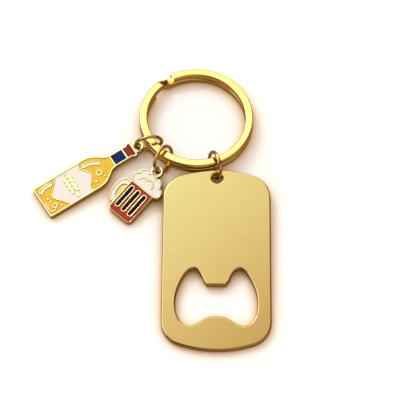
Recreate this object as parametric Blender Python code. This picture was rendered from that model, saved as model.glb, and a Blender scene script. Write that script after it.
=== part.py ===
"""Keychain bottle opener: opener plate, split ring, three jump rings and two enamel charms.

The object lies flat on a table at z = 0. +Z is up, +Y points from the opener plate to the split
ring, and the origin is the bottom centre of the whole object. Lengths below are millimetres.
"""

import math

import bmesh
import bpy
from mathutils import Matrix, Vector

MM = 0.001
ORIGIN_X, ORIGIN_Y = -14.75, -0.18

# Opener plate
PLATE_WIDTH = 28.0
PLATE_NORTH = 25.0
PLATE_SOUTH = 24.5
PLATE_THICK = 1.9
PLATE_END_R = 30.0
PLATE_CORNER_R = 6.5
PLATE_EDGE = 0.2
PLATE_AT = (2.2, -15.62)
PLATE_TURN = -0.4
PLATE_TILT = 2.2
HOLE_Y = 22.65
HOLE_R = 1.4
TAB_HALF = 2.75
TAB_END_Y = -7.1

# Split ring: flat wire, two layers
RING_R = 15.15
WIRE_WIDE = 2.1
WIRE_THICK = 1.8
LAYER_GAP = 0.1
WIRE_EDGE = 0.25
RING_AT = (-3.14, 24.5)
RING_TILT = 3.3
RING_HIGH_SIDE = 245.0
COIL_START = 118.0
CRANK_START = -222.0
CRANK_END = -240.0
COIL_END = -574.0
COIL_STEP = 7.2

# Jump rings: radius, centre, heading of the ring's plane and lean of that plane off vertical
JUMP_WIRE_R = 0.475
JUMP_GAP = 5.0
JUMP_SEAM = -38.0
JUMP_RINGS = {
    "opener_jump_ring": (3.5, (1.81, 10.635, 3.84), 109.4, -15.5),
    "bottle_jump_ring": (3.5, (-15.68, 17.09, 4.0), 10.1, -1.0),
    "mug_jump_ring": (3.7, (-11.77, 12.15, 4.0), 58.1, 18.3),
}

# Charms: base point on the table, heading of the long axis, tilt of the eye end
CHARM_THICK = 1.7
CHARM_EDGE = 0.12
RECESS = 0.35
ENAMEL_DROP = 0.14
FIT = 0.04
BOTTLE_AT = (-43.365, 0.592)
BOTTLE_TURN = -57.2
BOTTLE_TILT = 3.5
BOTTLE_EYE = (0.1, 29.45)
MUG_AT = (-23.02, -2.84)
MUG_TURN = -41.0
MUG_TILT = 8.2
MUG_EYE = (-0.35, 15.4)
EYE_HOLE_R = 1.05
EYE_R = 1.65
RIM = 0.42

BODY_HALF = 4.75
NECK_HALF = 1.8
LABEL_TOP = [(-4.33, 13.75), (-3.2, 13.3), (-2.0, 14.1), (0.0, 14.95), (2.0, 14.1), (3.1, 13.0),
             (4.33, 13.2)]
LABEL_BASE = [(-4.33, 6.5), (-2.9, 5.5), (-1.2, 3.85), (0.0, 3.5), (1.2, 3.85), (3.0, 5.3), (4.33, 6.3)]
LINE_HALF = 0.2

MUG_LEFT, MUG_RIGHT = -4.0, 3.65
MUG_BASE = -0.2
MUG_CORNER_R = 1.2
BAR_X = (-2.45, -0.3, 1.85)
BAR_BASE, BAR_TOP = 1.4, 8.65
BAR_R = 0.8
BAR_LINE = 0.32
FOAM = [(3.4, 10.75, 1.7), (1.8, 12.45, 1.75), (-0.3, 12.9, 1.7), (-2.4, 12.75, 1.55), (-3.4, 11.1, 1.45)]


def clear_scene():
    for obj in list(bpy.data.objects):
        bpy.data.objects.remove(obj, do_unlink=True)


def collection(name, hidden=False):
    made = bpy.data.collections.new(name)
    bpy.context.scene.collection.children.link(made)
    made.hide_render = hidden
    return made


def material(name, color, roughness, metallic):
    made = bpy.data.materials.new(name)
    made.use_nodes = True
    shader = made.node_tree.nodes["Principled BSDF"]
    shader.inputs["Base Color"].default_value = (*color, 1.0)
    shader.inputs["Roughness"].default_value = roughness
    shader.inputs["Metallic"].default_value = metallic
    return made


def frame(name, matrix, parent):
    """An empty that carries a sub-assembly or a joint."""
    empty = bpy.data.objects.new(name, None)
    empty.empty_display_size = 2 * MM
    parts.objects.link(empty)
    empty.parent = parent
    empty.matrix_local = matrix
    return empty


def at(x, y, z=0.0):
    return Matrix.Translation(Vector((x, y, z)) * MM)


def turn(degrees, axis="Z"):
    return Matrix.Rotation(math.radians(degrees), 4, axis)


# ---- outlines in millimetres ----


def arc(cx, cy, r, start, end, count):
    angles = [math.radians(start + (end - start) * i / count) for i in range(count + 1)]
    return [(cx + r * math.cos(a), cy + r * math.sin(a)) for a in angles]


def circle(cx, cy, r, count=24):
    return arc(cx, cy, r, 0, 360, count)[:-1]


def smooth(points, count=4):
    """A Catmull-Rom curve through the points."""
    ends = [points[0], *points, points[-1]]
    path = []
    for a, b, c, d in zip(ends, ends[1:], ends[2:], ends[3:]):
        for i in range(count):
            t = i / count
            path.append(tuple(
                0.5 * (2 * b[k] + (c[k] - a[k]) * t + (2 * a[k] - 5 * b[k] + 4 * c[k] - d[k]) * t * t
                       + (3 * b[k] - a[k] - 3 * c[k] + d[k]) * t ** 3)
                for k in (0, 1)))
    return path + [points[-1]]


def normals(points, closed=True):
    """The right-hand normal at each point, lengthened at corners."""
    found = []
    last = len(points) - 1
    for i, (x, y) in enumerate(points):
        before = points[i - 1] if closed or i > 0 else (x, y)
        after = points[(i + 1) % len(points)] if closed or i < last else (x, y)
        sides = []
        for (ax, ay), (bx, by) in ((before, (x, y)), ((x, y), after)):
            side = Vector((by - ay, ax - bx))
            if side.length > 1e-6:
                sides.append(side.normalized())
        mean = sum(sides, Vector((0, 0))).normalized()
        found.append(mean / max(0.5, mean.dot(sides[0])))
    return found


def grow(points, distance):
    """A counter-clockwise outline moved outward."""
    return [(x + n.x * distance, y + n.y * distance) for (x, y), n in zip(points, normals(points))]


def stroke(path, half, count=6):
    """The counter-clockwise outline of a line of this half width with round ends."""
    sides = normals(path, closed=False)
    right = [(x + n.x * half, y + n.y * half) for (x, y), n in zip(path, sides)]
    left = [(x - n.x * half, y - n.y * half) for (x, y), n in zip(path, sides)]
    end = math.degrees(math.atan2(sides[-1].y, sides[-1].x))
    start = math.degrees(math.atan2(-sides[0].y, -sides[0].x))
    return (right[:-1] + arc(*path[-1], half, end, end + 180, count) + left[-2:0:-1]
            + arc(*path[0], half, start, start + 180, count))


def meeting(a, b):
    """Where two circles cross, on the right-hand side of the way from a to b."""
    (ax, ay, ar), (bx, by, br) = a, b
    gap = math.hypot(bx - ax, by - ay)
    along = (ar * ar - br * br + gap * gap) / (2 * gap)
    out = math.sqrt(ar * ar - along * along)
    ux, uy = (bx - ax) / gap, (by - ay) / gap
    return ax + ux * along + uy * out, ay + uy * along - ux * out


def lobes(circles, first, last, count=8):
    """The outer arcs of a chain of overlapping circles, counter-clockwise."""
    path = []
    start = first
    for i, (cx, cy, r) in enumerate(circles):
        if i + 1 < len(circles):
            x, y = meeting(circles[i], circles[i + 1])
            end = math.degrees(math.atan2(y - cy, x - cx))
        else:
            end = last
        while end < start:
            end += 360
        path += arc(cx, cy, r, start, end, count)[: None if i + 1 == len(circles) else -1]
        if i + 1 < len(circles):
            nx, ny, _ = circles[i + 1]
            start = math.degrees(math.atan2(y - ny, x - nx))
    return path


# ---- solids ----


def flat_curve(name, outlines, base, top, edge=0.0):
    """A flat plate between two heights: the first outline is its edge, the others are holes."""
    curve = bpy.data.curves.new(name, "CURVE")
    curve.dimensions = "2D"
    curve.fill_mode = "BOTH"
    curve.extrude = ((top - base) / 2 - edge) * MM
    curve.bevel_depth = edge * MM
    curve.bevel_resolution = 0
    curve.offset = -edge * MM
    for outline in outlines:
        spline = curve.splines.new("POLY")
        spline.points.add(len(outline) - 1)
        for point, (x, y) in zip(spline.points, outline):
            point.co = (x * MM, y * MM, 0, 1)
        spline.use_cyclic_u = True
    obj = bpy.data.objects.new(name, curve)
    obj.location.z = (top + base) / 2 * MM
    return obj


def as_mesh(obj, target, parent=None, coat=None):
    """The curve object made a closed mesh."""
    target.objects.link(obj)
    bpy.context.view_layer.update()
    graph = bpy.context.evaluated_depsgraph_get()
    mesh = bpy.data.meshes.new_from_object(obj.evaluated_get(graph))
    work = bmesh.new()
    work.from_mesh(mesh)
    bmesh.ops.remove_doubles(work, verts=work.verts, dist=0.002 * MM)
    bmesh.ops.dissolve_degenerate(work, dist=0.0005 * MM, edges=work.edges)
    bmesh.ops.recalc_face_normals(work, faces=work.faces)
    work.to_mesh(mesh)
    work.free()
    made = bpy.data.objects.new(obj.name, mesh)
    made.matrix_world = obj.matrix_world
    curve = obj.data
    name = obj.name
    bpy.data.objects.remove(obj)
    bpy.data.curves.remove(curve)
    made.name = name
    target.objects.link(made)
    made.parent = parent
    if coat:
        mesh.materials.clear()
        mesh.materials.append(coat)
    mesh.shade_smooth()
    mesh.set_sharp_from_angle(angle=math.radians(35))
    return made


def cut(obj, cutter):
    cutter.display_type = "WIRE"
    cutter.hide_render = True
    boolean = obj.modifiers.new("cut_" + cutter.name, "BOOLEAN")
    boolean.operation = "DIFFERENCE"
    boolean.solver = "MANIFOLD"
    boolean.object = cutter


def wire(name, path, parent, coat, target, radius=None, profile=None):
    curve = bpy.data.curves.new(name, "CURVE")
    curve.dimensions = "3D"
    curve.twist_mode = "Z_UP" if profile else "MINIMUM"
    curve.use_fill_caps = True
    if profile:
        curve.bevel_mode = "OBJECT"
        curve.bevel_object = profile
    else:
        curve.bevel_depth = radius * MM
        curve.bevel_resolution = 2
    spline = curve.splines.new("POLY")
    spline.points.add(len(path) - 1)
    for point, co in zip(spline.points, path):
        point.co = (*[c * MM for c in co], 1)
    return as_mesh(bpy.data.objects.new(name, curve), target, parent, coat)


def rounded_plate():
    """Outline of the opener plate: straight sides, arched ends and round corners."""
    corner_x = PLATE_WIDTH / 2 - PLATE_CORNER_R
    reach = PLATE_END_R - PLATE_CORNER_R
    rise = math.sqrt(reach ** 2 - corner_x ** 2)
    turn_at = math.degrees(math.atan2(rise, corner_x))
    ends = []
    for length, side in ((PLATE_NORTH, 1), (PLATE_SOUTH, -1)):
        end_y = length - PLATE_END_R
        end = (arc(corner_x, end_y + rise, PLATE_CORNER_R, 0, turn_at, 7)
               + arc(0, end_y, PLATE_END_R, turn_at, 180 - turn_at, 12)[1:-1]
               + arc(-corner_x, end_y + rise, PLATE_CORNER_R, 180 - turn_at, 180, 7))
        ends += [(side * x, side * y) for x, y in end]
    return ends


def cap_opening():
    """Outline of the cut-out: a lobe either side of the lifting tab, and a hump at the foot."""
    side = smooth([(0.0, -15.42), (1.95, -15.6), (3.55, -16.4), (5.1, -17.5), (6.65, -18.06),
                   (8.3, -17.6), (9.5, -16.25), (10.2, -14.3), (10.45, -11.9), (10.2, -9.5),
                   (9.5, -7.2), (8.45, -4.95), (7.4, -3.4), (6.1, -2.6), (5.0, -2.95), (4.1, -4.1),
                   (3.3, -6.0)], 3)
    tab = arc(TAB_HALF - 0.45, TAB_END_Y + 0.45, 0.45, 0, -90, 3)
    right = side + tab
    return right + [(-x, y) for x, y in reversed(right[1:])]


def build_opener(root):
    lift = PLATE_SOUTH * math.sin(math.radians(PLATE_TILT))
    pose = at(*PLATE_AT, lift) @ turn(PLATE_TURN) @ turn(PLATE_TILT, "X")
    plate_frame = frame("opener_frame", pose, root)
    outlines = [rounded_plate(), cap_opening(), circle(0, HOLE_Y, HOLE_R, 28)]
    plate = flat_curve("opener_plate", outlines, 0, PLATE_THICK, PLATE_EDGE)
    as_mesh(plate, parts, plate_frame, satin_gold)


def coil_path():
    """Centre line of the flat wire, clockwise: top layer, crank, bottom layer."""
    radius = RING_R - WIRE_WIDE / 2
    low = WIRE_THICK / 2
    high = low + WIRE_THICK + LAYER_GAP
    turns = math.ceil((COIL_START - COIL_END) / COIL_STEP)
    path = []
    for i in range(turns + 1):
        angle = COIL_START + (COIL_END - COIL_START) * i / turns
        t = min(1.0, max(0.0, (angle - CRANK_START) / (CRANK_END - CRANK_START)))
        height = high + (low - high) * t * t * (3 - 2 * t)
        a = math.radians(angle)
        path.append((radius * math.cos(a), radius * math.sin(a), height))
    return path


def build_split_ring(root):
    high = math.radians(RING_HIGH_SIDE)
    axis = Vector((math.sin(high), -math.cos(high), 0))
    tilt = Matrix.Rotation(math.radians(RING_TILT), 4, axis)
    lift = RING_R * math.sin(math.radians(RING_TILT))
    ring_frame = frame("split_ring_frame", at(*RING_AT, lift) @ tilt, root)
    corner_x = WIRE_WIDE / 2 - WIRE_EDGE
    corner_y = WIRE_THICK / 2 - WIRE_EDGE
    section = []
    for i, (sx, sy) in enumerate(((1, 1), (-1, 1), (-1, -1), (1, -1))):
        section += arc(sx * corner_x, sy * corner_y, WIRE_EDGE, 90 * i, 90 * i + 90, 1)
    profile_curve = bpy.data.curves.new("split_ring_section", "CURVE")
    spline = profile_curve.splines.new("POLY")
    spline.points.add(len(section) - 1)
    for point, (x, y) in zip(spline.points, section):
        point.co = (x * MM, y * MM, 0, 1)
    spline.use_cyclic_u = True
    profile = bpy.data.objects.new("split_ring_section", profile_curve)
    profile.hide_render = True
    profile.display_type = "WIRE"
    cutters.objects.link(profile)
    wire("split_ring", coil_path(), ring_frame, polished_gold, parts, profile=profile)


def build_jump_ring(name, root):
    radius, (x, y, z), heading, lean = JUMP_RINGS[name]
    # Local X runs along the heading and local Y up, so local Z is the ring's own axis.
    pose = at(x, y, z) @ turn(heading) @ turn(-lean, "X") @ turn(90, "X")
    ring_frame = frame(name + "_frame", pose, root)
    path = [(px, py, 0) for px, py in arc(0, 0, radius, JUMP_SEAM + JUMP_GAP / 2,
                                          JUMP_SEAM + 360 - JUMP_GAP / 2, 40)]
    wire(name, path, ring_frame, polished_gold, parts, radius=JUMP_WIRE_R)


def build_casting(name, outline, eye, enamels, bare, parent):
    """The casting: outline with an eye hole, recessed under every enamel and bare window."""
    casting = flat_curve(name, [outline, circle(*eye, EYE_HOLE_R, 20)], 0, CHARM_THICK, CHARM_EDGE)
    casting = as_mesh(casting, parts, parent, polished_gold)
    floor = CHARM_THICK - RECESS
    recess = flat_curve(name + "_recess", [line for region in [*enamels, *bare] for line in region],
                        floor, CHARM_THICK + 0.5)
    cut(casting, as_mesh(recess, cutters, parent))
    return casting


def build_enamel(name, region, coat, parent):
    """The fill of one recess, a hair smaller than the recess on every side."""
    edge, *islands = region
    fitted = [grow(edge, -FIT)] + [grow(island, FIT) for island in islands]
    fill = flat_curve(name, fitted, CHARM_THICK - RECESS + FIT, CHARM_THICK - ENAMEL_DROP)
    as_mesh(fill, parts, parent, coat)


def grain(cx, cy, angle, length=0.95, width=0.5):
    """One pointed barley grain."""
    half = [(length * math.cos(math.radians(a)) * abs(math.cos(math.radians(a))) ** 0.4,
             width * math.sin(math.radians(a))) for a in range(0, 360, 36)]
    c, s = math.cos(math.radians(angle)), math.sin(math.radians(angle))
    return [(cx + x * c - y * s, cy + x * s + y * c) for x, y in half]


def charm_frame(name, pose, eye, root):
    """The charm's own frame, carried by an empty on the swing axis through its eye."""
    middle = at(*eye, CHARM_THICK / 2)
    pivot = frame(name + "_pivot", pose @ middle, root)
    return frame(name + "_frame", middle.inverted(), pivot)


def build_bottle(root):
    pose = at(*BOTTLE_AT) @ turn(BOTTLE_TURN) @ turn(BOTTLE_TILT, "X")
    charm = charm_frame("bottle", pose, BOTTLE_EYE, root)
    side = [(BODY_HALF - 0.3, 0), (BODY_HALF, 0.3)] + smooth(
        [(BODY_HALF, 15.3), (4.5, 16.9), (3.95, 18.1), (3.1, 19.3), (2.3, 20.3), (1.92, 21.2),
         (NECK_HALF, 22.2)], 3)
    side += [(NECK_HALF, 26.95), (2.15, 27.2), (2.2, 27.9), (1.95, 28.4)]
    eye_x, eye_y = BOTTLE_EYE
    drop = eye_y - 28.4
    reach = math.degrees(math.asin(drop / EYE_R))
    outline = (side + arc(eye_x, eye_y, EYE_R, -reach, 180 + reach, 18)
               + [(-x, y) for x, y in reversed(side)])

    rim_side = [(x - RIM, y) for x, y in side if 14.0 < y < 21.0] + [(NECK_HALF - 0.34, 21.6)]
    shoulder_top = rim_side + [(-x, y) for x, y in reversed(rim_side)]
    label_top = smooth(LABEL_TOP, 3)
    label_base = smooth(LABEL_BASE, 3)
    body_x = BODY_HALF - RIM
    shoulder = [(x, y + LINE_HALF) for x, y in label_top] + shoulder_top
    base = [(-body_x, 0.42), (body_x, 0.42)] + [(x, y - LINE_HALF) for x, y in reversed(label_base)]
    label = ([(x, y + LINE_HALF) for x, y in label_base]
             + [(x, y - LINE_HALF) for x, y in reversed(label_top)])
    neck = [(-1.42, 22.0), (1.42, 22.0), (1.42, 25.35), (-1.42, 25.35)]
    cap = [(-1.42, 25.8), (1.42, 25.8), (1.42, 27.0), (1.78, 27.35), (1.78, 27.8), (1.55, 28.0),
           (-1.55, 28.0), (-1.78, 27.8), (-1.78, 27.35), (-1.42, 27.0)]

    shoulder_glint = smooth([(-2.98, 14.6), (-2.9, 15.6), (-2.45, 17.1), (-1.65, 18.25)], 3)
    base_glint = smooth([(-3.45, 4.6), (-3.45, 3.0), (-3.15, 1.9), (-2.7, 1.45)], 3)
    bubble = circle(0.95, 17.1, 0.95, 18)
    swirl = arc(2.5, 2.6, 0.8, 15, 340, 14)
    swirl += smooth([(3.252, 2.326), (3.45, 2.0), (3.5, 1.6), (3.35, 1.2), (2.95, 1.0), (1.7, 0.98),
                     (0.35, 1.0)], 2)[1:]
    swirl += smooth([(0.3, 0.7), (1.7, 0.66), (3.0, 0.68), (3.6, 0.95), (3.85, 1.55), (3.7, 2.2),
                     (3.273, 2.807)], 2)[:-1]
    dots = [circle(2.5, 17.9, 0.3, 8), circle(2.7, 15.2, 0.35, 8)]
    base_dots = [circle(-0.1, 2.0, 0.3, 8), circle(0.95, 2.35, 0.3, 8), circle(3.5, 4.1, 0.3, 8)]
    grains = [grain(-2.4 + 1.3 * i, 9.2 + 0.68 * s, s * 28) for i in range(4) for s in (-1, 1)]
    grains += [grain(3.1, 9.2, 0), stroke([(-3.9, 9.2), (-3.55, 9.2)], 0.17, 4)]

    regions = {
        "bottle_enamel_shoulder": ([shoulder, stroke(shoulder_glint, 0.62), bubble, *dots], amber),
        "bottle_enamel_base": ([base, stroke(base_glint, 0.62), swirl, *base_dots], amber),
        "bottle_enamel_label": ([label, *grains], cream),
        "bottle_enamel_neck": ([neck], navy),
        "bottle_enamel_cap": ([cap], cap_red),
        "bottle_enamel_shoulder_glint": ([stroke(shoulder_glint, 0.3)], cream),
        "bottle_enamel_base_glint": ([stroke(base_glint, 0.3)], cream),
        "bottle_enamel_shoulder_bubble": ([circle(0.95, 17.1, 0.55, 14)], amber),
        "bottle_enamel_base_bubble": ([circle(2.5, 2.6, 0.45, 12)], amber),
    }
    build_casting("bottle_casting", outline, BOTTLE_EYE, [r for r, _ in regions.values()], [], charm)
    for name, (region, coat) in regions.items():
        build_enamel(name, region, coat, charm)


def build_mug(root):
    lift = -MUG_BASE * math.sin(math.radians(MUG_TILT))
    pose = at(*MUG_AT, lift) @ turn(MUG_TURN) @ turn(MUG_TILT, "X")
    charm = charm_frame("mug", pose, MUG_EYE, root)
    eye = (*MUG_EYE, EYE_R)
    chain = [FOAM[0], FOAM[1], FOAM[2], eye, FOAM[2], FOAM[3], FOAM[4]]
    low = MUG_BASE + MUG_CORNER_R
    handle_out = smooth([(-4.0, 9.45), (-5.6, 9.1), (-6.45, 7.8), (-6.7, 5.8), (-6.4, 3.7), (-5.4, 2.25),
                         (-4.0, 1.8)], 3)
    outline = (lobes(chain, -82, 262) + handle_out
               + arc(MUG_LEFT + MUG_CORNER_R, low, MUG_CORNER_R, 180, 270, 4)
               + arc(MUG_RIGHT - MUG_CORNER_R, low, MUG_CORNER_R, 270, 360, 4)
               + [(MUG_RIGHT, 9.1)])

    inner_r = MUG_CORNER_R - 0.37
    body = (arc(MUG_LEFT + MUG_CORNER_R, low, inner_r, 180, 270, 4)
            + arc(MUG_RIGHT - MUG_CORNER_R, low, inner_r, 270, 360, 4)
            + [(MUG_RIGHT - 0.37, 9.3), (MUG_LEFT + 0.37, 9.3)])
    foam_in = [(x, y, r - RIM) for x, y, r in FOAM]
    foam = lobes(foam_in, -75, 250) + [(-3.15, 9.68), (3.3, 9.63)]
    squiggle = smooth([(-2.6, 10.9), (-2.1, 11.85), (-1.35, 12.05), (-0.7, 11.85), (-0.1, 12.5), (0.5, 12.65),
                       (1.2, 12.1), (1.65, 11.3), (1.8, 10.9)], 2)
    handle = (smooth([(-3.97, 8.95), (-5.3, 8.75), (-6.1, 7.6), (-6.32, 5.8), (-6.05, 3.9), (-5.25, 2.65),
                      (-3.97, 2.2)], 3)
              + smooth([(-3.97, 3.0), (-5.05, 3.85), (-5.6, 5.1), (-5.62, 6.4), (-5.3, 7.65),
                        (-3.97, 8.25)], 3))
    window = smooth([(-3.97, 3.4), (-4.8, 4.1), (-5.24, 5.2), (-5.28, 6.3), (-5.0, 7.3), (-3.97, 7.85)], 3)

    bars = []
    for x in BAR_X:
        line = [(x, BAR_BASE + BAR_R), (x, BAR_TOP - BAR_R)]
        bars.append((stroke(line, BAR_R), stroke(line, BAR_R - BAR_LINE)))

    regions = {
        "mug_enamel_foam": ([foam, stroke(squiggle, 0.17, 4)], foam_white),
        "mug_enamel_body": ([body, *[outer for outer, _ in bars]], mug_red),
        "mug_enamel_handle": ([handle], foam_white),
        "mug_enamel_bar_left": ([bars[0][1]], black),
        "mug_enamel_bar_middle": ([bars[1][1]], black),
        "mug_enamel_bar_right": ([bars[2][1]], black),
    }
    build_casting("mug_casting", outline, MUG_EYE, [r for r, _ in regions.values()], [[window]], charm)
    for name, (region, coat) in regions.items():
        build_enamel(name, region, coat, charm)


clear_scene()
parts = collection("keychain_bottle_opener")
cutters = collection("cutters", hidden=True)
satin_gold = material("satin_gold", (0.76, 0.55, 0.22), 0.32, 1.0)
polished_gold = material("polished_gold", (0.83, 0.56, 0.19), 0.08, 1.0)
amber = material("enamel_amber", (0.90, 0.56, 0.06), 0.18, 0.0)
cream = material("enamel_cream", (0.93, 0.86, 0.74), 0.2, 0.0)
navy = material("enamel_navy", (0.008, 0.03, 0.14), 0.15, 0.0)
cap_red = material("enamel_dark_red", (0.34, 0.03, 0.03), 0.15, 0.0)
mug_red = material("enamel_red", (0.52, 0.05, 0.03), 0.15, 0.0)
foam_white = material("enamel_white", (0.92, 0.87, 0.79), 0.2, 0.0)
black = material("enamel_black", (0.004, 0.004, 0.004), 0.12, 0.0)

root = frame("keychain_root", at(-ORIGIN_X, -ORIGIN_Y), None)
build_opener(root)
build_split_ring(root)
for ring_name in JUMP_RINGS:
    build_jump_ring(ring_name, root)
build_bottle(root)
build_mug(root)
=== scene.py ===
"""Keychain bottle opener: fine surfaces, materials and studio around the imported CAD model.

Lengths are millimetres and angles are degrees. Only the studio, at the end, is in metres.
"""

import math

import bmesh
import bpy
from mathutils import Matrix, Vector


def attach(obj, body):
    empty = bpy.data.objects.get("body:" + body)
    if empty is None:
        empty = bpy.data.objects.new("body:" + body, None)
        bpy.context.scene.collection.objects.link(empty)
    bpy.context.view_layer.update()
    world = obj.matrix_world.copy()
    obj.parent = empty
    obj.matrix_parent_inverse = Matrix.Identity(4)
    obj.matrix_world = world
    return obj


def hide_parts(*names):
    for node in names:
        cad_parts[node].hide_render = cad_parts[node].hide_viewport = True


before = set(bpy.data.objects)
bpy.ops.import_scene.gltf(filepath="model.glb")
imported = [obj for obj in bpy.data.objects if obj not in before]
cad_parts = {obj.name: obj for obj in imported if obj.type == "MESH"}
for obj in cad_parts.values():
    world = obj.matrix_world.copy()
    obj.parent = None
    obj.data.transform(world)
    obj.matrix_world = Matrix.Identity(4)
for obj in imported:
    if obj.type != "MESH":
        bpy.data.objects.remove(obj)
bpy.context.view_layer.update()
MM = 0.001


# ---- sizes and places: the CAD model's own, with finer edges ----

ORIGIN_X, ORIGIN_Y = -14.75, -0.18  # the frame's origin, in the drawing that every place below is given in
INSET = 0.01  # how far a fine outline stays inside the CAD's

# Opener plate
PLATE_WIDTH = 28.0
PLATE_NORTH = 25.0
PLATE_SOUTH = 24.5
PLATE_THICK = 1.9
PLATE_END_R = 30.0
PLATE_CORNER_R = 6.5
PLATE_EDGE = 0.4
PLATE_AT = (2.2, -15.62)
PLATE_TURN = -0.4
PLATE_TILT = 2.2
HOLE_Y = 22.65
HOLE_R = 1.4
TAB_HALF = 2.75
TAB_END_Y = -7.1
TAB_CORNER_R = 0.45
FLAT_FACE_Z = 0.98  # a face whose normal is steeper than this is satin, and the rest is edge

# Split ring: flat wire, two layers
RING_R = 15.15
WIRE_WIDE = 2.1
WIRE_THICK = 1.8
LAYER_GAP = 0.1
WIRE_EDGE = 0.35
RING_AT = (-3.14, 24.5)
RING_TILT = 3.3
RING_HIGH_SIDE = 245.0
COIL_START = 118
COIL_END = -574
COIL_STEP = 2
CRANK_START = -222
CRANK_END = -240

# Jump rings: body, radius, centre, heading of the ring's plane and lean of that plane off vertical
JUMP_WIRE_R = 0.463
JUMP_GAP = 5.0
JUMP_SEAM = -38.0
JUMP_RINGS = {
    "opener_jump_ring": ("opener_link", 3.5, (1.81, 10.635, 3.84), 109.4, -15.5),
    "bottle_jump_ring": ("bottle_link", 3.5, (-15.68, 17.09, 4.0), 10.1, -1.0),
    "mug_jump_ring": ("mug_link", 3.7, (-11.77, 12.15, 4.0), 58.1, 18.3),
}

# Charms: a back plate, a rim and lines that stand on it, and enamel between them
CHARM_THICK = 1.7
RECESS = 0.35
ENAMEL_DROP = 0.14
ENAMEL_FIT = 0.03
ENAMEL_EDGE = 0.05
BACK_BASE = 0.02
BACK_EDGE = 0.1
RIM_EDGE = 0.10
RIM_ROOT = 0.14  # how far the rim goes down into the back plate
RIM = 0.42
EYE_R = 1.65
EYE_HOLE_R = 1.05

BOTTLE_AT = (-43.365, 0.592)
BOTTLE_TURN = -57.2
BOTTLE_TILT = 3.5
BOTTLE_EYE = (0.1, 29.45)
BOTTLE_TOP = 28.4
BODY_HALF = 4.75
NECK_HALF = 1.8
LABEL_TOP = [(-4.33, 13.75), (-3.2, 13.3), (-2.0, 14.1), (0.0, 14.95), (2.0, 14.1), (3.1, 13.0), (4.33, 13.2)]
LABEL_BASE = [(-4.33, 6.5), (-2.9, 5.5), (-1.2, 3.85), (0.0, 3.5), (1.2, 3.85), (3.0, 5.3), (4.33, 6.3)]
LABEL_Y = 9.2
LINE_HALF = 0.2
FINE_LINE_HALF = 0.17
GRAIN_LENGTH = 0.95
GRAIN_WIDTH = 0.5
GLINT_HALF = 0.3
GLINT_RIM_HALF = 0.62
SHOULDER_BUBBLE = (0.95, 17.1)
BASE_BUBBLE = (2.5, 2.6)
DOT_POINTS = 20

MUG_AT = (-23.02, -2.84)
MUG_TURN = -41.0
MUG_TILT = 8.2
MUG_EYE = (-0.35, 15.4)
MUG_LEFT, MUG_RIGHT = -4.0, 3.65
MUG_BASE = -0.2
MUG_CORNER_R = 1.2
MUG_RIM = 0.37
BAR_X = (-2.45, -0.3, 1.85)
BAR_BASE, BAR_TOP = 1.4, 8.65
BAR_R = 0.8
BAR_LINE = 0.32
FOAM = [(3.4, 10.75, 1.7), (1.8, 12.45, 1.75), (-0.3, 12.9, 1.7), (-2.4, 12.75, 1.55), (-3.4, 11.1, 1.45)]


# ---- outlines ----


def arc(cx, cy, r, start, end, count):
    """Points along part of a circle, both ends included."""
    angles = [math.radians(start + (end - start) * i / count) for i in range(count + 1)]
    return [(cx + r * math.cos(a), cy + r * math.sin(a)) for a in angles]


def circle(cx, cy, r, count=48):
    """Points all round a circle, each once."""
    return arc(cx, cy, r, 0, 360, count)[:-1]


def smooth(points, count=8):
    """A Catmull-Rom curve through the points."""
    ends = [points[0], *points, points[-1]]
    path = []
    for a, b, c, d in zip(ends, ends[1:], ends[2:], ends[3:]):
        for i in range(count):
            t = i / count
            path.append(tuple(
                0.5 * (2 * b[k] + (c[k] - a[k]) * t + (2 * a[k] - 5 * b[k] + 4 * c[k] - d[k]) * t * t
                       + (3 * b[k] - a[k] - 3 * c[k] + d[k]) * t ** 3)
                for k in (0, 1)))
    return path + [points[-1]]


def normals(points, closed=True):
    """The right-hand normal at each point, lengthened at corners."""
    found = []
    last = len(points) - 1
    for i, (x, y) in enumerate(points):
        before = points[i - 1] if closed or i > 0 else (x, y)
        after = points[(i + 1) % len(points)] if closed or i < last else (x, y)
        sides = []
        for (ax, ay), (bx, by) in ((before, (x, y)), ((x, y), after)):
            side = Vector((by - ay, ax - bx))
            if side.length > 1e-6:
                sides.append(side.normalized())
        mean = sum(sides, Vector((0, 0))).normalized()
        found.append(mean / max(0.5, mean.dot(sides[0])))
    return found


def grow(points, distance):
    """A counter-clockwise outline moved outward."""
    return [(x + n.x * distance, y + n.y * distance) for (x, y), n in zip(points, normals(points))]


def raised(points, distance):
    """The points moved up the drawing."""
    return [(x, y + distance) for x, y in points]


def mirrored(points):
    """The points mirrored across the Y axis, in the opposite order."""
    return [(-x, y) for x, y in reversed(points)]


def stroke(path, half):
    """The counter-clockwise outline of a line of this half width with round ends."""
    sides = normals(path, closed=False)
    right = [(x + n.x * half, y + n.y * half) for (x, y), n in zip(path, sides)]
    left = [(x - n.x * half, y - n.y * half) for (x, y), n in zip(path, sides)]
    end = math.degrees(math.atan2(sides[-1].y, sides[-1].x))
    start = math.degrees(math.atan2(-sides[0].y, -sides[0].x))
    return (right[:-1] + arc(*path[-1], half, end, end + 180, 10) + left[-2:0:-1]
            + arc(*path[0], half, start, start + 180, 10))


def round_corners(points, radius):
    """A closed polygon with each corner replaced by a short curve."""
    steps = 4
    path = []
    for i, point in enumerate(points):
        here = Vector(point)
        before = Vector(points[i - 1]) - here
        after = Vector(points[(i + 1) % len(points)]) - here
        reach = min(radius, before.length * 0.45, after.length * 0.45)
        a = here + before.normalized() * reach
        b = here + after.normalized() * reach
        for k in range(steps + 1):
            t = k / steps
            path.append(tuple(a * (1 - t) ** 2 + here * 2 * t * (1 - t) + b * t * t))
    return path


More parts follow.
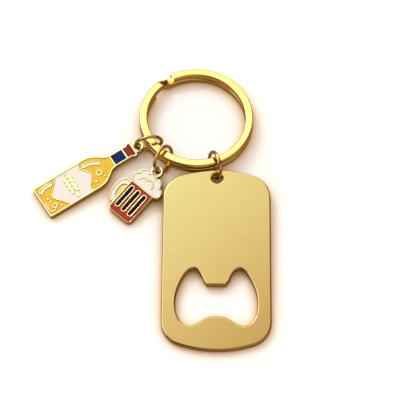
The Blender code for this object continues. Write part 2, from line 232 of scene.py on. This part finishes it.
def meeting(a, b):
    """Where two circles cross, on the right-hand side of the way from a to b."""
    (ax, ay, ar), (bx, by, br) = a, b
    gap = math.hypot(bx - ax, by - ay)
    forward = (ar * ar - br * br + gap * gap) / (2 * gap)
    out = math.sqrt(ar * ar - forward * forward)
    ux, uy = (bx - ax) / gap, (by - ay) / gap
    return ax + ux * forward + uy * out, ay + uy * forward - ux * out


def lobes(circles, first, last):
    """The outer arcs of a chain of overlapping circles, counter-clockwise."""
    path = []
    start = first
    for (cx, cy, r), following in zip(circles, [*circles[1:], None]):
        end = last
        if following:
            x, y = meeting((cx, cy, r), following)
            end = math.degrees(math.atan2(y - cy, x - cx))
        while end < start:
            end += 360
        path += arc(cx, cy, r, start, end, 18)
        if following:
            path.pop()
            start = math.degrees(math.atan2(y - following[1], x - following[0]))
    return path


# ---- materials ----

EVEN = (1, 1, 1)
HAIRLINES = (0.6, 14, 14)
BRUSHED = (0.5, 30, 30)


def colour_ramp(tree, value, stops):
    """A colour that follows a value through (position, colour) stops."""
    ramp = tree.nodes.new("ShaderNodeValToRGB")
    elements = ramp.color_ramp.elements
    for element, (position, color) in zip(elements, (stops[0], stops[-1])):
        element.position = position
        element.color = (*color, 1)
    for position, color in stops[1:-1]:
        elements.new(position).color = (*color, 1)
    tree.links.new(value, ramp.inputs[0])
    return ramp.outputs[0]


class Nodes:
    """Short calls for building one material's node tree."""

    def __init__(self, name):
        self.material = bpy.data.materials.new(name)
        self.material.use_nodes = True
        self.tree = self.material.node_tree
        self.shader = self.tree.nodes["Principled BSDF"]

    def add(self, kind, **values):
        """A node, with each value given to its property or input of that name."""
        node = self.tree.nodes.new(kind)
        for key, value in values.items():
            if hasattr(node, key):
                setattr(node, key, value)
            else:
                node.inputs[key.replace("_", " ")].default_value = value
        return node

    def link(self, out, into):
        """Joins one node's output to another's input."""
        self.tree.links.new(out, into)

    def noise(self, size, detail, stretch=EVEN):
        """Noise with this many features to a millimetre, along each axis in proportion to stretch."""
        where = self.add("ShaderNodeTexCoord")
        mapping = self.add("ShaderNodeMapping")
        mapping.inputs["Scale"].default_value = [s / MM for s in stretch]
        noise = self.add("ShaderNodeTexNoise", Scale=size, Detail=detail, Roughness=0.6)
        self.link(where.outputs["Object"], mapping.inputs["Vector"])
        self.link(mapping.outputs["Vector"], noise.inputs["Vector"])
        return noise.outputs["Fac"]

    def spread(self, value, low, high, start=0.3, stop=0.7):
        """A number or colour that goes from low to high as the value goes from start to stop."""
        spread = self.add("ShaderNodeMapRange")
        spread.inputs["From Min"].default_value = start
        spread.inputs["From Max"].default_value = stop
        self.link(value, spread.inputs["Value"])
        if isinstance(low, tuple):
            mix = self.add("ShaderNodeMix", data_type="RGBA")
            mix.inputs[6].default_value = (*low, 1)
            mix.inputs[7].default_value = (*high, 1)
            self.link(spread.outputs["Result"], mix.inputs[0])
            return mix.outputs[2]
        spread.inputs["To Min"].default_value = low
        spread.inputs["To Max"].default_value = high
        return spread.outputs["Result"]

    def bump(self, height, distance, after=None):
        """The normal of a surface roughened by this height, on top of an earlier bump if one is given."""
        bump = self.add("ShaderNodeBump", Strength=1.0, Distance=distance * MM)
        self.link(height, bump.inputs["Height"])
        if after:
            self.link(after, bump.inputs["Normal"])
        return bump.outputs["Normal"]

    def set(self, name, value):
        """Gives the shader's input a plain value or another node's output."""
        if hasattr(value, "links"):
            self.link(value, self.shader.inputs[name])
        else:
            self.shader.inputs[name].default_value = value


def gold(name, color, rough, peel, scratch=0.0, hairs=HAIRLINES):
    """Gold plating: tint drift, roughness drift along fine hairs, orange peel and hair scratches."""
    n = Nodes(name)
    red, green, blue = color
    warm = (red * 0.98, green * 0.955, blue * 0.90)
    n.set("Base Color", n.spread(n.noise(size=0.25, detail=2), color, warm))
    n.set("Metallic", 1.0)
    hair = n.noise(size=1.0, detail=3, stretch=hairs)
    n.set("Roughness", n.spread(hair, *rough))
    normal = n.bump(n.noise(size=1.4, detail=3), peel)
    if scratch:
        normal = n.bump(hair, scratch, after=normal)
    n.set("Normal", normal)
    return n.material


def enamel(name, color, deep, skin=0.12):
    """Poured enamel: pigment drift, fine specks and a clear glossy skin with a slight swell."""
    n = Nodes(name)
    n.set("Base Color", n.spread(n.noise(size=0.9, detail=6), deep, color, start=0.25, stop=0.6))
    n.set("Roughness", n.spread(n.noise(size=6.0, detail=2), 0.16, 0.28))
    n.set("Coat Weight", skin)
    n.set("Coat Roughness", 0.05)
    n.set("Coat IOR", 1.4)
    n.set("Specular IOR Level", 0.06)
    normal = n.bump(n.noise(size=0.7, detail=2), 0.02)
    n.set("Normal", normal)
    n.set("Coat Normal", normal)
    return n.material


satin = gold("satin_gold_face", (0.84, 0.63, 0.236), (0.18, 0.22), peel=0.0003, scratch=0.0002, hairs=BRUSHED)
# Plate edges: polished, and painted darker than the faces as painted shade on the walls.
plate_edge_painted_shade = gold("gold_edge_painted_shade", (0.74, 0.50, 0.16), (0.10, 0.16), peel=0.001)
polished = gold("polished_gold_wire", (1.0, 0.72, 0.26), (0.05, 0.09), peel=0.0008, scratch=0.0003)
link_gold = gold("polished_gold_link", (0.88, 0.58, 0.19), (0.04, 0.08), peel=0.001)
cast = gold("polished_gold_casting", (0.97, 0.82, 0.43), (0.10, 0.15), peel=0.0015)
# Back plate and recess floor: rougher than the rim, and painted darker as painted shade in the recesses and
# on the lower sides.
recess_gold_painted_shade = gold("gold_recess_floor_painted_shade", (0.86, 0.58, 0.20), (0.18, 0.28), peel=0.004)

# Each enamel's name is its material slot's and "_fill".
amber = enamel("enamel_amber_fill", (0.76, 0.50, 0.055), (0.66, 0.40, 0.035))
cream = enamel("enamel_cream_fill", (0.80, 0.76, 0.70), (0.775, 0.73, 0.665))
navy = enamel("enamel_navy_fill", (0.005, 0.022, 0.12), (0.003, 0.015, 0.085), skin=0.06)
cap_red = enamel("enamel_dark_red_fill", (0.26, 0.028, 0.024), (0.21, 0.018, 0.015))
mug_red = enamel("enamel_red_fill", (0.37, 0.040, 0.021), (0.31, 0.029, 0.015))
white = enamel("enamel_white_fill", (0.81, 0.77, 0.71), (0.78, 0.73, 0.66))
black = enamel("enamel_black_fill", (0.003, 0.003, 0.003), (0.001, 0.001, 0.001))


# ---- shapes ----

WELD = 0.0005
LEVEL_Z = 0.9995
SHARP_SLAB = 35
SHARP_WIRE = 40


def at(x, y, z=0.0):
    """A move in millimetres."""
    return Matrix.Translation(Vector((x, y, z)) * MM)


def turn(degrees, axis="Z"):
    """A turn about an axis."""
    return Matrix.Rotation(math.radians(degrees), 4, axis)


def add_spline(curve, points, closed):
    """A straight-sided line through these points, flat ones at height 0."""
    spline = curve.splines.new("POLY")
    spline.points.add(len(points) - 1)
    for point, co in zip(spline.points, points):
        x, y, z = (*co, 0.0)[:3]
        point.co = (x * MM, y * MM, z * MM, 1)
    spline.use_cyclic_u = closed


def curve_mesh(curve, lift=0.0):
    """The mesh of a curve, lifted, its caps welded to its sides and its faces pointing out."""
    obj = bpy.data.objects.new("draft", curve)
    bpy.context.scene.collection.objects.link(obj)
    bpy.context.view_layer.update()
    graph = bpy.context.evaluated_depsgraph_get()
    mesh = bpy.data.meshes.new_from_object(obj.evaluated_get(graph))
    bpy.data.objects.remove(obj)
    bpy.data.curves.remove(curve)
    work = bmesh.new()
    work.from_mesh(mesh)
    bmesh.ops.remove_doubles(work, verts=work.verts, dist=WELD * MM)
    bmesh.ops.recalc_face_normals(work, faces=work.faces)
    for vert in work.verts:
        vert.co.z += lift * MM
    work.to_mesh(mesh)
    work.free()
    return mesh


def crisp(mesh):
    """Smooth shading, with corners and the rim of every level cap kept sharp."""
    work = bmesh.new()
    work.from_mesh(mesh)
    for face in work.faces:
        face.smooth = True
    for edge in work.edges:
        if len(edge.link_faces) != 2:
            continue
        level = [abs(face.normal.z) > LEVEL_Z for face in edge.link_faces]
        if level[0] != level[1] or edge.calc_face_angle(0) > math.radians(SHARP_SLAB):
            edge.smooth = False
    work.to_mesh(mesh)
    work.free()
    return mesh


def slab(outlines, base, top, edge, steps=3):
    """A flat plate between two heights with rounded edges: outline first, then holes."""
    curve = bpy.data.curves.new("draft", "CURVE")
    curve.dimensions = "2D"
    curve.fill_mode = "BOTH"
    curve.extrude = ((top - base) / 2 - edge) * MM
    curve.bevel_depth = edge * MM
    curve.bevel_resolution = steps
    curve.offset = -edge * MM
    for outline in outlines:
        add_spline(curve, outline, closed=True)
    return crisp(curve_mesh(curve, (top + base) / 2))


def wire_mesh(path, radius=None, section=None):
    """A wire along a path, round if it has a radius and else with the section's outline."""
    curve = bpy.data.curves.new("draft", "CURVE")
    curve.dimensions = "3D"
    curve.use_fill_caps = True
    add_spline(curve, path, closed=False)
    if section:
        profile_curve = bpy.data.curves.new("section", "CURVE")
        add_spline(profile_curve, section, closed=True)
        profile = bpy.data.objects.new("section", profile_curve)
        curve.twist_mode = "Z_UP"
        curve.bevel_mode = "OBJECT"
        curve.bevel_object = profile
        mesh = curve_mesh(curve)
        bpy.data.objects.remove(profile)
    else:
        curve.bevel_depth = radius * MM
        curve.bevel_resolution = 6
        mesh = curve_mesh(curve)
    for polygon in mesh.polygons:
        polygon.use_smooth = True
    mesh.set_sharp_from_angle(angle=math.radians(SHARP_WIRE))
    return mesh


def joined(*meshes):
    """Several meshes in one, each with its own material index, in order."""
    work = bmesh.new()
    for index, mesh in enumerate(meshes):
        before = len(work.faces)
        work.from_mesh(mesh)
        work.faces.ensure_lookup_table()
        for face in work.faces[before:]:
            face.material_index = index
        bpy.data.meshes.remove(mesh)
    made = bpy.data.meshes.new("joined")
    work.to_mesh(made)
    work.free()
    return made


def piece(node, mesh, pose, body, materials):
    """The fine piece that stands for a CAD node and rides on its body."""
    for material in materials:
        mesh.materials.append(material)
    mesh.transform(pose)
    obj = bpy.data.objects.new(node + "_fine", mesh)
    bpy.context.scene.collection.objects.link(obj)
    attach(obj, body)
    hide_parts(node)


root = at(-ORIGIN_X, -ORIGIN_Y)


# ---- opener plate ----


def rounded_plate():
    """Outline of the opener plate: straight sides, arched ends and round corners."""
    corner_x = PLATE_WIDTH / 2 - PLATE_CORNER_R
    reach = PLATE_END_R - PLATE_CORNER_R
    rise = math.sqrt(reach ** 2 - corner_x ** 2)
    turn_at = math.degrees(math.atan2(rise, corner_x))
    ends = []
    for length, side in ((PLATE_NORTH, 1), (PLATE_SOUTH, -1)):
        end_y = length - PLATE_END_R
        end = (arc(corner_x, end_y + rise, PLATE_CORNER_R, 0, turn_at, 28)
               + arc(0, end_y, PLATE_END_R, turn_at, 180 - turn_at, 48)[1:-1]
               + arc(-corner_x, end_y + rise, PLATE_CORNER_R, 180 - turn_at, 180, 28))
        ends += [(side * x, side * y) for x, y in end]
    return ends


def cap_opening():
    """Outline of the cut-out: a lobe either side of the lifting tab, and a hump at the foot."""
    side = smooth([(0.0, -15.42), (1.95, -15.6), (3.55, -16.4), (5.1, -17.5), (6.65, -18.06),
                   (8.3, -17.6), (9.5, -16.25), (10.2, -14.3), (10.45, -11.9), (10.2, -9.5),
                   (9.5, -7.2), (8.45, -4.95), (7.4, -3.4), (6.1, -2.6), (5.0, -2.95), (4.1, -4.1),
                   (3.3, -6.0)], 10)
    right = side + arc(TAB_HALF - TAB_CORNER_R, TAB_END_Y + TAB_CORNER_R, TAB_CORNER_R, 0, -90, 8)
    return right + mirrored(right[1:])


def build_plate():
    """The opener plate: satin faces, and polished edges painted darker as painted shade."""
    lift = PLATE_SOUTH * math.sin(math.radians(PLATE_TILT))
    pose = root @ at(*PLATE_AT, lift) @ turn(PLATE_TURN) @ turn(PLATE_TILT, "X")
    outlines = [rounded_plate(), cap_opening(), circle(0, HOLE_Y, HOLE_R, 64)]
    mesh = slab(outlines, 0, PLATE_THICK, PLATE_EDGE, steps=6)
    for polygon in mesh.polygons:
        # Level faces take the satin gold; the rest take the edge gold, painted darker as painted shade.
        polygon.material_index = 0 if abs(polygon.normal.z) > FLAT_FACE_Z else 1
    piece("opener_plate", mesh, pose, "opener", [satin, plate_edge_painted_shade])


# ---- rings ----


def coil_path():
    """Centre line of the flat wire, clockwise: top layer, crank, bottom layer."""
    radius = RING_R - WIRE_WIDE / 2 - INSET
    low = WIRE_THICK / 2
    high = low + WIRE_THICK + LAYER_GAP
    path = []
    for angle in range(COIL_START, COIL_END - 1, -COIL_STEP):
        t = min(1.0, max(0.0, (angle - CRANK_START) / (CRANK_END - CRANK_START)))
        height = high + (low - high) * t * t * (3 - 2 * t)
        a = math.radians(angle)
        path.append((radius * math.cos(a), radius * math.sin(a), height))
    return path


def build_split_ring():
    """The split ring, tilted up towards its high side."""
    high = math.radians(RING_HIGH_SIDE)
    axis = Vector((math.sin(high), -math.cos(high), 0))
    lift = RING_R * math.sin(math.radians(RING_TILT))
    pose = root @ at(*RING_AT, lift) @ Matrix.Rotation(math.radians(RING_TILT), 4, axis)
    corner_x = WIRE_WIDE / 2 - WIRE_EDGE
    corner_y = WIRE_THICK / 2 - WIRE_EDGE
    section = []
    for i, (sx, sy) in enumerate(((1, 1), (-1, 1), (-1, -1), (1, -1))):
        section += arc(sx * corner_x, sy * corner_y, WIRE_EDGE, 90 * i, 90 * i + 90, 6)
    mesh = wire_mesh(coil_path(), section=section)
    piece("split_ring", mesh, pose, "key_ring", [polished])


def build_jump_ring(name):
    """A round wire bent into a ring with a narrow gap."""
    body, radius, centre, heading, lean = JUMP_RINGS[name]
    # Local X runs along the heading and local Y up, so local Z is the ring's own axis.
    pose = root @ at(*centre) @ turn(heading) @ turn(-lean, "X") @ turn(90, "X")
    path = arc(0, 0, radius - INSET, JUMP_SEAM + JUMP_GAP / 2, JUMP_SEAM + 360 - JUMP_GAP / 2, 120)
    piece(name, wire_mesh(path, radius=JUMP_WIRE_R), pose, body, [link_gold])


# ---- charms ----


def build_charm(body, casting, outline, eye, regions, bare, pose):
    """Casting: back plate, polished rim and raised lines; then each enamel fill."""
    floor = CHARM_THICK - RECESS
    outline = grow(outline, -INSET)
    eye_hole = circle(*eye, EYE_HOLE_R, 40)
    holes = [line for region, _ in regions.values() for line in region] + bare
    back = slab([outline, eye_hole], BACK_BASE, floor, BACK_EDGE)
    rim = slab([outline, eye_hole, *holes], floor - RIM_ROOT, CHARM_THICK, RIM_EDGE, steps=4)
    # The back plate takes the darker gold, painted shade in the recesses; the rim takes the polished casting
    # gold.
    piece(casting, joined(back, rim), pose, body, [recess_gold_painted_shade, cast])
    for name, (region, coat) in regions.items():
        edge, *islands = region
        fitted = [grow(edge, -ENAMEL_FIT)] + [grow(island, ENAMEL_FIT) for island in islands]
        fill = slab(fitted, floor, CHARM_THICK - ENAMEL_DROP, ENAMEL_EDGE)
        piece(name, fill, pose, body, [coat])


def grain(cx, cy, angle):
    """One pointed barley grain."""
    half = []
    for step in range(0, 360, 15):
        a = math.radians(step)
        half.append((GRAIN_LENGTH * math.cos(a) * abs(math.cos(a)) ** 0.4, GRAIN_WIDTH * math.sin(a)))
    c, s = math.cos(math.radians(angle)), math.sin(math.radians(angle))
    return [(cx + x * c - y * s, cy + x * s + y * c) for x, y in half]


def barley_ear():
    """Four pairs of grains, one at the tip and a short stalk, along the middle of the label."""
    grains = [grain(-2.4 + 1.3 * i, LABEL_Y + 0.68 * s, s * 28) for i in range(4) for s in (-1, 1)]
    return grains + [grain(3.1, LABEL_Y, 0), stroke([(-3.9, LABEL_Y), (-3.55, LABEL_Y)], FINE_LINE_HALF)]


def bottle_side():
    """The right side of the bottle, from the foot to the top of the cap."""
    side = [(BODY_HALF - 0.3, 0), (BODY_HALF, 0.3)] + smooth(
        [(BODY_HALF, 15.3), (4.5, 16.9), (3.95, 18.1), (3.1, 19.3), (2.3, 20.3), (1.92, 21.2),
         (NECK_HALF, 22.2)])
    return side + [(NECK_HALF, 26.95), (2.15, 27.2), (2.2, 27.9), (1.95, BOTTLE_TOP)]


def build_bottle():
    """The bottle charm: amber glass, cream label with a barley ear, blue neck band and red cap."""
    pose = root @ at(*BOTTLE_AT) @ turn(BOTTLE_TURN) @ turn(BOTTLE_TILT, "X")
    side = bottle_side()
    eye_x, eye_y = BOTTLE_EYE
    reach = math.degrees(math.asin((eye_y - BOTTLE_TOP) / EYE_R))
    outline = side + arc(eye_x, eye_y, EYE_R, -reach, 180 + reach, 48) + mirrored(side)

    body_x = BODY_HALF - RIM
    rim_side = [(x - RIM, y) for x, y in side if 14.0 < y < 21.0] + [(NECK_HALF - 0.34, 21.6)]
    label_top = smooth(LABEL_TOP)
    label_base = smooth(LABEL_BASE)
    shoulder = raised(label_top, LINE_HALF) + rim_side + mirrored(rim_side)
    base = [(-body_x, RIM), (body_x, RIM)] + raised(reversed(label_base), -LINE_HALF)
    label = raised(label_base, LINE_HALF) + raised(reversed(label_top), -LINE_HALF)
    neck = round_corners([(-1.42, 22.0), (1.42, 22.0), (1.42, 25.35), (-1.42, 25.35)], radius=0.15)
    cap = round_corners([(-1.42, 25.8), (1.42, 25.8), (1.42, 27.0), (1.78, 27.35), (1.78, 27.8),
                         (1.55, 28.0), (-1.55, 28.0), (-1.78, 27.8), (-1.78, 27.35), (-1.42, 27.0)],
                        radius=0.12)

    shoulder_glint = smooth([(-2.98, 14.6), (-2.9, 15.6), (-2.45, 17.1), (-1.65, 18.25)], 6)
    base_glint = smooth([(-3.45, 4.6), (-3.45, 3.0), (-3.15, 1.9), (-2.7, 1.45)], 6)
    bubble = circle(*SHOULDER_BUBBLE, 0.95)
    swirl = arc(*BASE_BUBBLE, 0.8, 15, 340, 36)
    swirl += smooth([(3.252, 2.326), (3.45, 2.0), (3.5, 1.6), (3.35, 1.2), (2.95, 1.0), (1.7, 0.98),
                     (0.35, 1.0)], 6)[1:]
    swirl += smooth([(0.3, 0.7), (1.7, 0.66), (3.0, 0.68), (3.6, 0.95), (3.85, 1.55), (3.7, 2.2),
                     (3.273, 2.807)], 6)[:-1]
    dots = [circle(*dot, DOT_POINTS) for dot in ((2.5, 17.9, 0.3), (2.7, 15.2, 0.35))]
    base_dots = [circle(*dot, DOT_POINTS) for dot in ((-0.1, 2.0, 0.3), (0.95, 2.35, 0.3), (3.5, 4.1, 0.3))]

    regions = {
        "bottle_enamel_shoulder": ([shoulder, stroke(shoulder_glint, GLINT_RIM_HALF), bubble, *dots], amber),
        "bottle_enamel_base": ([base, stroke(base_glint, GLINT_RIM_HALF), swirl, *base_dots], amber),
        "bottle_enamel_label": ([label, *barley_ear()], cream),
        "bottle_enamel_neck": ([neck], navy),
        "bottle_enamel_cap": ([cap], cap_red),
        "bottle_enamel_shoulder_glint": ([stroke(shoulder_glint, GLINT_HALF)], cream),
        "bottle_enamel_base_glint": ([stroke(base_glint, GLINT_HALF)], cream),
        "bottle_enamel_shoulder_bubble": ([circle(*SHOULDER_BUBBLE, 0.55)], amber),
        "bottle_enamel_base_bubble": ([circle(*BASE_BUBBLE, 0.45)], amber),
    }
    build_charm("bottle_charm", "bottle_casting", outline, BOTTLE_EYE, regions, [], pose)


def build_mug():
    """The mug charm: red body with three black bars, white foam and handle."""
    lift = -MUG_BASE * math.sin(math.radians(MUG_TILT))
    pose = root @ at(*MUG_AT, lift) @ turn(MUG_TURN) @ turn(MUG_TILT, "X")
    left, right = MUG_LEFT + MUG_CORNER_R, MUG_RIGHT - MUG_CORNER_R
    low = MUG_BASE + MUG_CORNER_R
    handle_out = smooth([(-4.0, 9.45), (-5.6, 9.1), (-6.45, 7.8), (-6.7, 5.8), (-6.4, 3.7), (-5.4, 2.25),
                         (-4.0, 1.8)])
    chain = [*FOAM[:3], (*MUG_EYE, EYE_R), *FOAM[2:]]
    outline = (lobes(chain, -82, 262) + handle_out + arc(left, low, MUG_CORNER_R, 180, 270, 12)
               + arc(right, low, MUG_CORNER_R, 270, 360, 12) + [(MUG_RIGHT, 9.1)])

    inner_r = MUG_CORNER_R - MUG_RIM
    body = (arc(left, low, inner_r, 180, 270, 10) + arc(right, low, inner_r, 270, 360, 10)
            + [(MUG_RIGHT - MUG_RIM, 9.3), (MUG_LEFT + MUG_RIM, 9.3)])
    foam = lobes([(x, y, r - RIM) for x, y, r in FOAM], -75, 250) + [(-3.15, 9.68), (3.3, 9.63)]
    squiggle = smooth([(-2.6, 10.9), (-2.1, 11.85), (-1.35, 12.05), (-0.7, 11.85), (-0.1, 12.5),
                       (0.5, 12.65), (1.2, 12.1), (1.65, 11.3), (1.8, 10.9)], 6)
    handle = (smooth([(-3.97, 8.95), (-5.3, 8.75), (-6.1, 7.6), (-6.32, 5.8), (-6.05, 3.9), (-5.25, 2.65),
                      (-3.97, 2.2)])
              + smooth([(-3.97, 3.0), (-5.05, 3.85), (-5.6, 5.1), (-5.62, 6.4), (-5.3, 7.65), (-3.97, 8.25)]))
    window = smooth([(-3.97, 3.4), (-4.8, 4.1), (-5.24, 5.2), (-5.28, 6.3), (-5.0, 7.3), (-3.97, 7.85)])

    bars = [[(x, BAR_BASE + BAR_R), (x, BAR_TOP - BAR_R)] for x in BAR_X]
    regions = {
        "mug_enamel_foam": ([foam, stroke(squiggle, FINE_LINE_HALF)], white),
        "mug_enamel_body": ([body, *[stroke(bar, BAR_R) for bar in bars]], mug_red),
        "mug_enamel_handle": ([handle], white),
    }
    for where, bar in zip(("left", "middle", "right"), bars):
        regions["mug_enamel_bar_" + where] = ([stroke(bar, BAR_R - BAR_LINE)], black)
    build_charm("mug_charm", "mug_casting", outline, MUG_EYE, regions, [window], pose)


# ---- studio, in metres ----

FLOOR_HALF = 0.9
# How far from the pieces the painted shade in the floor's colour reaches.
PAINTED_SHADE_REACH = 0.0036
# Painted shade in the floor's colour, darker and warmer by how open the floor is to the sky: 0 is covered and
# 1 is open.
PAINTED_CONTACT_SHADE = [(0.30, (0.72, 0.41, 0.15)), (0.62, (0.96, 0.80, 0.60)), (0.86, (0.97, 0.94, 0.91)),
           (0.98, (0.97, 0.97, 0.97))]
# The floor's colour in reflections: painted darker than the floor itself, as painted shade in what the gold
# reflects.
PAINTED_DIM_FLOOR_REFLECTION = (0.33, 0.24, 0.12)

# The sky, by how far a direction turns to the given one: 0 is straight away from it, 1 straight along it.
TENT_TOWARDS = (-0.2, 0.5, 0.84)
TENT = [(0.5, (0.54, 0.43, 0.34)), (1.0, (1.57, 1.48, 1.42))]
PANEL_TOWARDS = (-0.6, 0.8, 0.0)
PANEL = [(0.10, (0.90, 0.80, 0.65)), (0.20, (0.60, 0.50, 0.36)), (0.27, (0.02, 0.01, 0.004)),
         (0.42, (0.012, 0.005, 0.001)), (0.455, (0.40, 0.28, 0.16)), (0.52, (0.52, 0.38, 0.24)),
         (0.56, (0.40, 0.25, 0.14)), (0.585, (0.44, 0.27, 0.145)), (0.606, (0.70, 0.49, 0.32)),
         (0.616, (0.90, 0.71, 0.53)), (0.626, (1.08, 0.98, 0.90)), (0.6415, (1.14, 1.17, 1.29)),
         (0.665, (1.01, 1.37, 1.67)), (0.69, (1.15, 1.5, 1.5)), (0.80, (1.5, 1.6, 1.4))]
UPWARD = (0.0, 0.0, 1.0)
WALLS = [(0.54, (0.02, 0.01, 0.004)), (0.63, (0.28, 0.20, 0.13)), (0.74, (1.0, 1.0, 1.0))]

KEY_AT = (-0.27, 0.38, 0.50)
KEY_SIDE = 0.17
KEY_WATTS = 0.68423888

VIEW_TILT = 25.12
VIEW_DISTANCE = 0.4191
LENS = 138.46
NEAREST_SEEN = 0.02


def build_floor():
    """A pale table top with painted shade, darker and warmer in its colour where pieces cover it, and painted
    dim in reflections to keep the gold's contrast.
    """
    mesh = bpy.data.meshes.new("floor")
    work = bmesh.new()
    bmesh.ops.create_grid(work, x_segments=2, y_segments=2, size=FLOOR_HALF)
    work.to_mesh(mesh)
    work.free()
    n = Nodes("studio_white")
    # Painted shade: the floor's own colour darkens and warms where pieces cover it from the sky.
    painted_shade = n.add("ShaderNodeAmbientOcclusion", samples=8, Distance=PAINTED_SHADE_REACH)
    n.set("Base Color", colour_ramp(n.tree, painted_shade.outputs["AO"], PAINTED_CONTACT_SHADE))
    n.set("Roughness", 0.9)
    n.set("Specular IOR Level", 0.0)
    # Painted shade in reflections: glossy rays see this dim floor instead of the pale one.
    dim = n.add("ShaderNodeBsdfDiffuse", Color=(*PAINTED_DIM_FLOOR_REFLECTION, 1))
    path = n.add("ShaderNodeLightPath")
    mix = n.add("ShaderNodeMixShader")
    n.link(path.outputs["Is Glossy Ray"], mix.inputs[0])
    n.link(n.shader.outputs[0], mix.inputs[1])
    n.link(dim.outputs[0], mix.inputs[2])
    n.link(mix.outputs[0], n.tree.nodes["Material Output"].inputs["Surface"])
    mesh.materials.append(n.material)
    floor = bpy.data.objects.new("floor", mesh)
    bpy.context.scene.collection.objects.link(floor)


def sky_zone(tree, direction, stops):
    """A sky colour that follows how far a direction turns to the given one."""
    where = tree.nodes.new("ShaderNodeTexCoord")
    dot = tree.nodes.new("ShaderNodeVectorMath")
    dot.operation = "DOT_PRODUCT"
    dot.inputs[1].default_value = Vector(direction) * 0.5
    half = tree.nodes.new("ShaderNodeMath")
    half.operation = "ADD"
    half.inputs[1].default_value = 0.5
    tree.links.new(where.outputs["Generated"], dot.inputs[0])
    tree.links.new(dot.outputs["Value"], half.inputs[0])
    return colour_ramp(tree, half.outputs[0], stops)


def mixed(tree, kind, factor, a, b):
    """Colour b mixed over colour a, by a plain factor or by another node's output."""
    mix = tree.nodes.new("ShaderNodeMix")
    mix.data_type = "RGBA"
    mix.blend_type = kind
    if hasattr(factor, "links"):
        tree.links.new(factor, mix.inputs[0])
    else:
        mix.inputs[0].default_value = factor
    tree.links.new(a, mix.inputs[6])
    tree.links.new(b, mix.inputs[7])
    return mix.outputs[2]


def build_world():
    """An even warm tent for soft shadows; reflections see a bright panel to the north-west and dark walls."""
    world = bpy.data.worlds.new("studio")
    bpy.context.scene.world = world
    world.use_nodes = True
    world.cycles.sampling_method = "NONE"
    tree = world.node_tree
    tent = sky_zone(tree, TENT_TOWARDS, TENT)
    panel = sky_zone(tree, PANEL_TOWARDS, PANEL)
    walls = sky_zone(tree, UPWARD, WALLS)
    path = tree.nodes.new("ShaderNodeLightPath")
    reflected = mixed(tree, "MULTIPLY", 1.0, panel, walls)
    sky = mixed(tree, "MIX", path.outputs["Is Glossy Ray"], tent, reflected)
    tree.links.new(sky, tree.nodes["Background"].inputs["Color"])


def build_key_lamp():
    """A square lamp at the upper left, aimed at the frame's origin and unseen by the camera."""
    light = bpy.data.lights.new("key", "AREA")
    light.shape = "RECTANGLE"
    light.size = light.size_y = KEY_SIDE
    light.energy = KEY_WATTS
    lamp = bpy.data.objects.new("key", light)
    bpy.context.scene.collection.objects.link(lamp)
    lamp.location = KEY_AT
    lamp.rotation_euler = (-Vector(KEY_AT)).to_track_quat("-Z", "Y").to_euler()
    lamp.visible_camera = False


def build_camera():
    """The photograph's view: from the south, looking down at the drawing's own origin."""
    data = bpy.data.cameras.new("camera")
    data.lens = LENS
    data.sensor_width = 36.0
    data.clip_start = NEAREST_SEEN
    camera = bpy.data.objects.new("camera", data)
    bpy.context.scene.collection.objects.link(camera)
    tilt = math.radians(VIEW_TILT)
    south, up = VIEW_DISTANCE * math.sin(tilt), VIEW_DISTANCE * math.cos(tilt)
    camera.location = (-ORIGIN_X * MM, -ORIGIN_Y * MM - south, up)
    camera.rotation_euler = (tilt, 0, 0)
    bpy.context.scene.camera = camera


build_plate()
build_split_ring()
for ring_name in JUMP_RINGS:
    build_jump_ring(ring_name)
build_bottle()
build_mug()
build_floor()
build_world()
build_key_lamp()
build_camera()
bpy.context.scene.view_settings.view_transform = "Standard"
